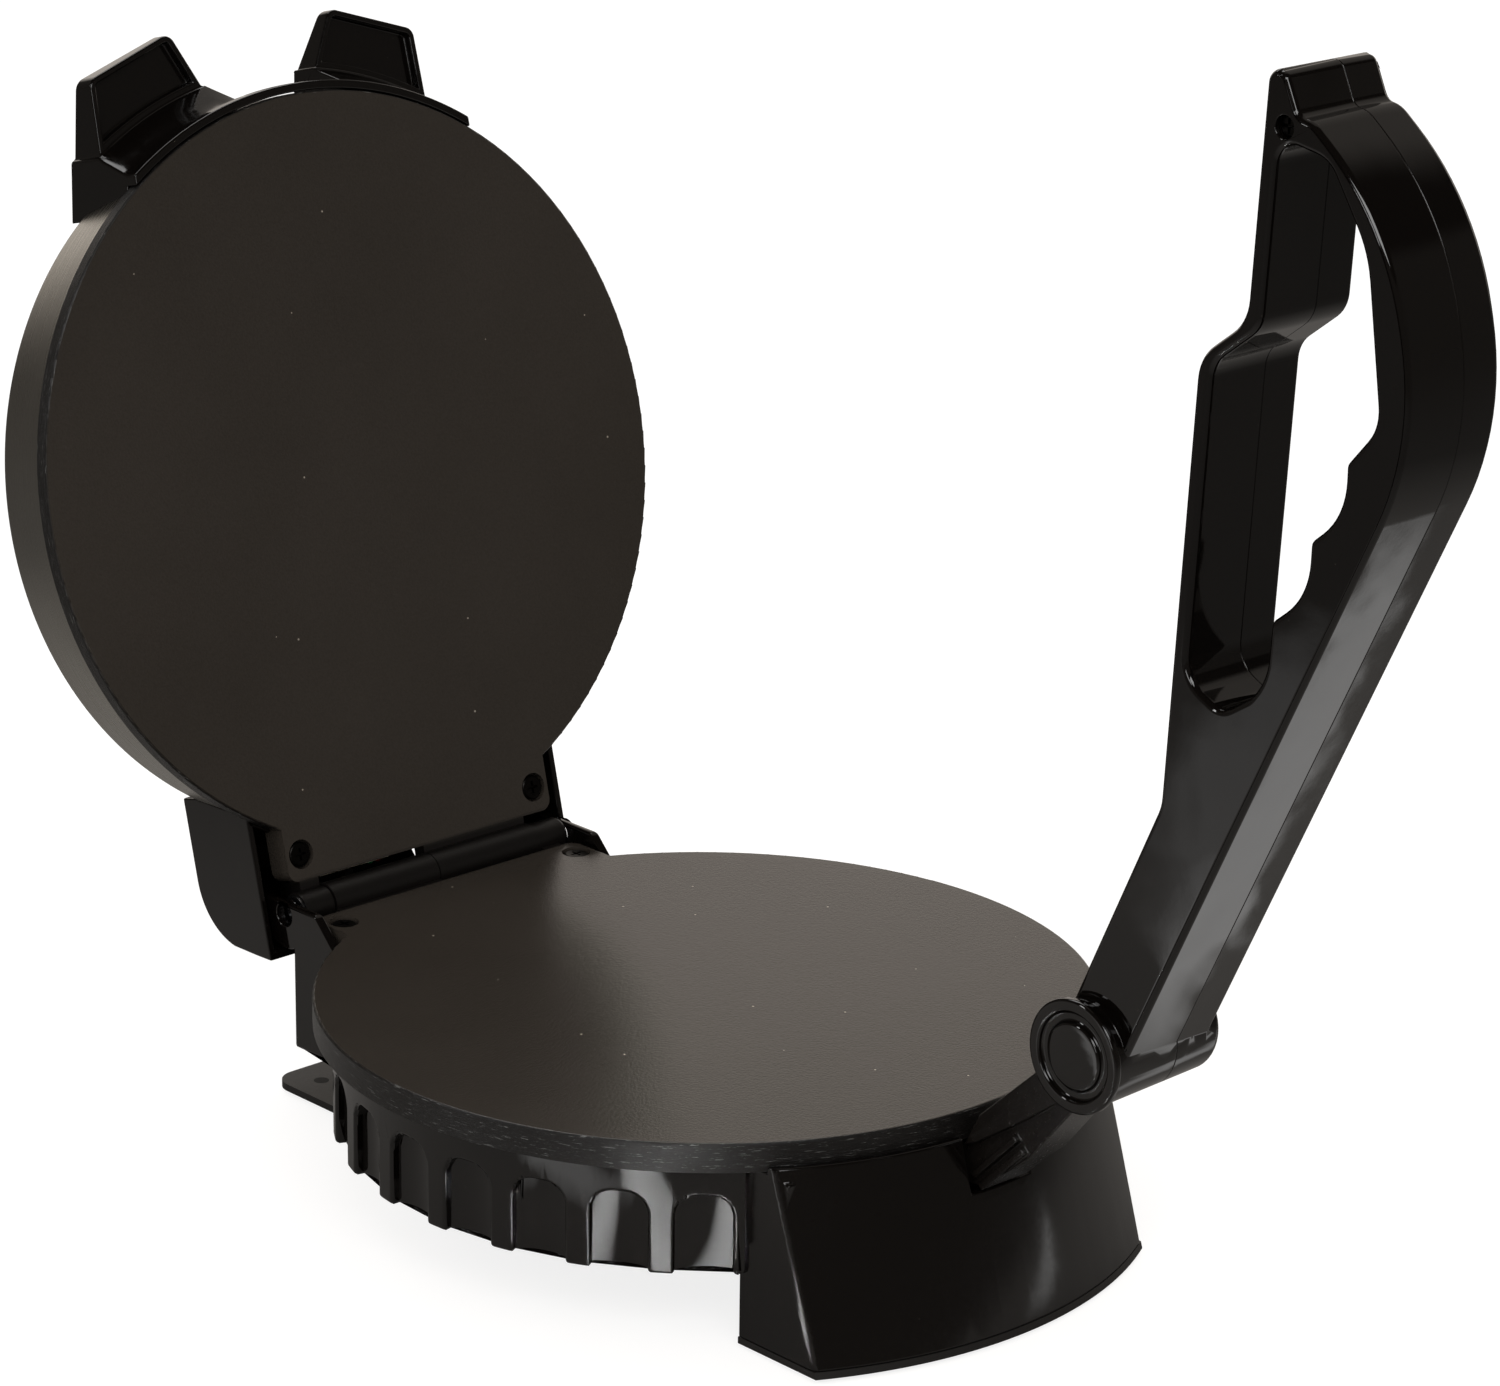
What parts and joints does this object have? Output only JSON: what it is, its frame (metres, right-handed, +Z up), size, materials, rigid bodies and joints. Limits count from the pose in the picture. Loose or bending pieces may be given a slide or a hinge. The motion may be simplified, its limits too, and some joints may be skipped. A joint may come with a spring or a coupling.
{
  "type": "electric tortilla maker",
  "caption": "Electric tortilla maker with hinged round cooking plates under a steel lid, two lifting horns, and a tall pressing lever with a D-shaped finger grip on a pivot bracket.",
  "frame": {"origin": "centre of the overall bounding box's footprint, at the height of the table under the rubber feet", "axes": "+X to the right seen from the lever side, +Y from the lever to the hinge, +Z up"},
  "size_m": [0.254, 0.5312, 0.4127],
  "materials": {
    "nonstick_plate": "satin dark non-stick coat",
    "black_plastic": "gloss black",
    "bracket_metal": "semi-gloss black",
    "black_sheet": "semi-gloss black",
    "steel_cover": "fine brushed",
    "bright_steel": "turned",
    "dark_screw": "dark zinc",
    "brass_bush": "turned",
    "black_rubber": "matt",
    "element_steel": "heat-stained",
    "shield_sheet": "plain sheet",
    "dark_control": "matt moulded",
    "fuse_case": "plain",
    "white_block": "unglazed white",
    "lead_sleeve": "woven-look sleeve",
    "mineral_wool": "matt fibre",
    "green_lens": "clear tinted",
    "red_lens": "clear tinted"
  },
  "bodies": {
    "base": {"lower_plate": "nonstick_plate", "lower_plate_screws": "dark_screw", "base_shell": "black_plastic", "cord_gland": "black_rubber", "base_cover": "black_sheet", "base_cover_screws": "dark_screw", "front_housing": "black_plastic", "housing_screws": "dark_screw", "front_housing_cover": "black_plastic", "front_cover_screws": "dark_screw", "front_feet": "black_rubber", "rear_stand": "black_sheet", "rear_column": "black_plastic", "rear_stand_screws": "dark_screw", "rear_feet": "black_rubber", "lever_bracket": "bracket_metal", "bracket_screws": "dark_screw", "pivot_bush": "brass_bush", "lower_heating_element": "element_steel", "lower_heat_shield": "shield_sheet", "lower_thermostat": "dark_control", "lower_thermal_fuse": "fuse_case", "terminal_block": "white_block", "base_leads": "lead_sleeve", "lid_lead": "lead_sleeve", "hinge_pin": "bright_steel", "hinge_clips": "bright_steel"},
    "lid": {"upper_plate": "nonstick_plate", "upper_plate_screws": "dark_screw", "upper_heating_element": "element_steel", "upper_heat_shield": "shield_sheet", "upper_thermostat": "dark_control", "upper_thermal_fuse": "fuse_case", "lid_insulation": "mineral_wool", "lid_terminal_block": "white_block", "lid_leads": "lead_sleeve", "lid_cover": "steel_cover", "lid_rear_housing": "black_plastic", "lid_front_clip": "black_plastic", "clip_screws": "dark_screw", "green_light": "green_lens", "red_light": "red_lens"},
    "lever": {"lever_left_half": "black_plastic", "lever_right_half": "black_plastic", "lever_screws": "dark_screw", "pivot_cap": "black_plastic", "pivot_pin": "bright_steel"}
  },
  "joints": [
    {"name": "lid_hinge", "type": "hinge", "parent": "base", "child": "lid", "pos_m": [0, 0.16834, 0.0718], "axis": [1, 0, 0], "range_deg": [0, 104], "deforming": ["lid_lead"]},
    {"name": "lever_pivot", "type": "hinge", "parent": "base", "child": "lever", "pos_m": [0, -0.15676, 0.111], "axis": [-1, 0, 0], "range_deg": [0, 98.7]}
  ]
}
